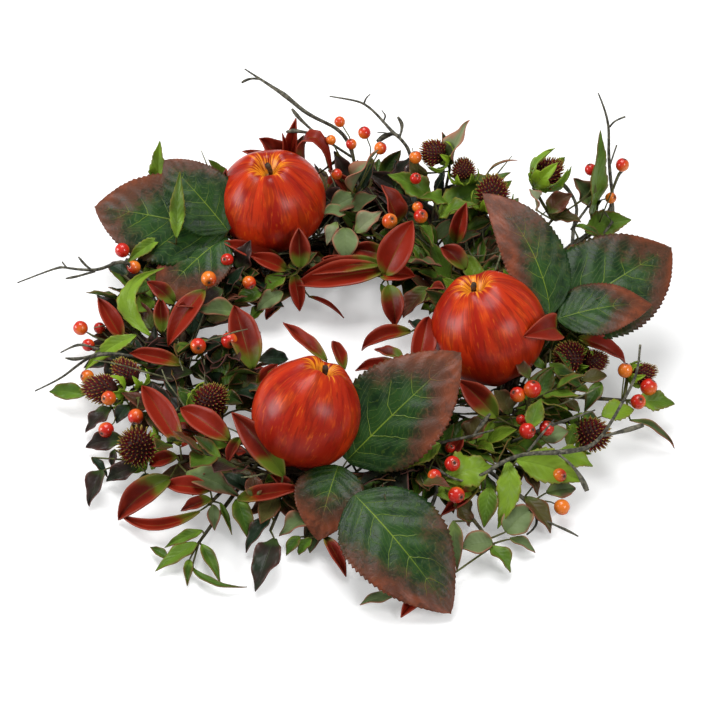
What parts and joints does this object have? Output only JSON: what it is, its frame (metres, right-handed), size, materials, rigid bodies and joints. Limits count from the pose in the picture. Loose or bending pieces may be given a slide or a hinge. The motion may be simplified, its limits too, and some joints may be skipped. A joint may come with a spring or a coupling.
{
  "type": "harvest door wreath",
  "caption": "Round autumn wreath of artificial apples, rust-tipped leaves, berries, spiny pods and twigs on a vine ring.",
  "frame": {"origin": "centre of the vine ring, on the plane that the back of the vine rests on", "axes": "+Z out of the wreath's face, away from the door or table behind it; +Y towards the top when it hangs; +X to the right seen from the front"},
  "size_m": [0.4328, 0.3902, 0.1263],
  "materials": {
    "apple_skin": "lacquered, streaked orange and dark red",
    "apple_stalk": "dark brown, rough",
    "florist_wire": "dark green paint",
    "vine": "bare twisted vine",
    "big_leaf": "printed green with yellow-green veins and rust edges",
    "red_leaf": "soft sheen, red with pale edges and green feet",
    "grey_leaf": "dusty grey-green with pink edges",
    "lime_leaf": "soft sheen, yellow-green",
    "green_leaf": "soft sheen, mid green",
    "dark_leaf": "soft sheen, near-black green and purple",
    "berry": "glossy, orange to red",
    "berry_crown": "near-black, rough",
    "pod": "dark crimson, matt",
    "sepal": "soft sheen, yellow-green",
    "green_stem": "olive green, matt",
    "brown_stem": "olive brown, matt",
    "twig": "grey-brown, matt"
  },
  "bodies": {
    "root": {"apple_back_left": "apple_skin", "apple_front": "apple_skin", "apple_right": "apple_skin", "apple_stems": "apple_stalk", "apple_wires": "florist_wire", "berries_back": "berry", "berries_hole": "berry", "berries_left": "berry", "berries_right": "berry", "berry_crowns": "berry_crown", "berry_stems": "green_stem", "big_leaf_front_low": "big_leaf", "big_leaf_front_small": "big_leaf", "big_leaf_front_upright": "big_leaf", "big_leaf_left_back": "big_leaf", "big_leaf_left_lower": "big_leaf", "big_leaf_left_upper": "big_leaf", "big_leaf_right_back": "big_leaf", "big_leaf_right_front": "big_leaf", "big_leaf_right_upright": "big_leaf", "binding_wires": "florist_wire", "dark_leaves_back": "dark_leaf", "dark_leaves_front": "dark_leaf", "dark_leaves_left": "dark_leaf", "filler_leaves_inner": "dark_leaf", "filler_leaves_outer": "dark_leaf", "filler_stems": "brown_stem", "green_leaves_front_left": "green_leaf", "green_leaves_hole": "green_leaf", "green_leaves_right": "green_leaf", "grey_leaves_back": "grey_leaf", "grey_leaves_front_left": "grey_leaf", "grey_leaves_front_right": "grey_leaf", "leaf_stalks": "green_stem", "lime_leaves_back": "lime_leaf", "lime_leaves_left": "lime_leaf", "lime_leaves_right": "lime_leaf", "pod_sepals": "sepal", "pod_stems": "green_stem", "pods_back": "pod", "pods_left": "pod", "pods_right": "pod", "red_leaves_back": "red_leaf", "red_leaves_front": "red_leaf", "red_leaves_front_left": "red_leaf", "red_leaves_hole_left": "red_leaf", "red_leaves_hole_right": "red_leaf", "red_leaves_left": "red_leaf", "red_leaves_right": "red_leaf", "stems_back": "brown_stem", "stems_front": "brown_stem", "stems_left": "brown_stem", "stems_right": "brown_stem", "twig_back_left": "twig", "twig_back_right": "twig", "twig_left": "twig", "twig_right_front": "twig", "vine_strand_inner": "vine", "vine_strand_outer": "vine", "vine_strand_top": "vine"}
  },
  "joints": []
}
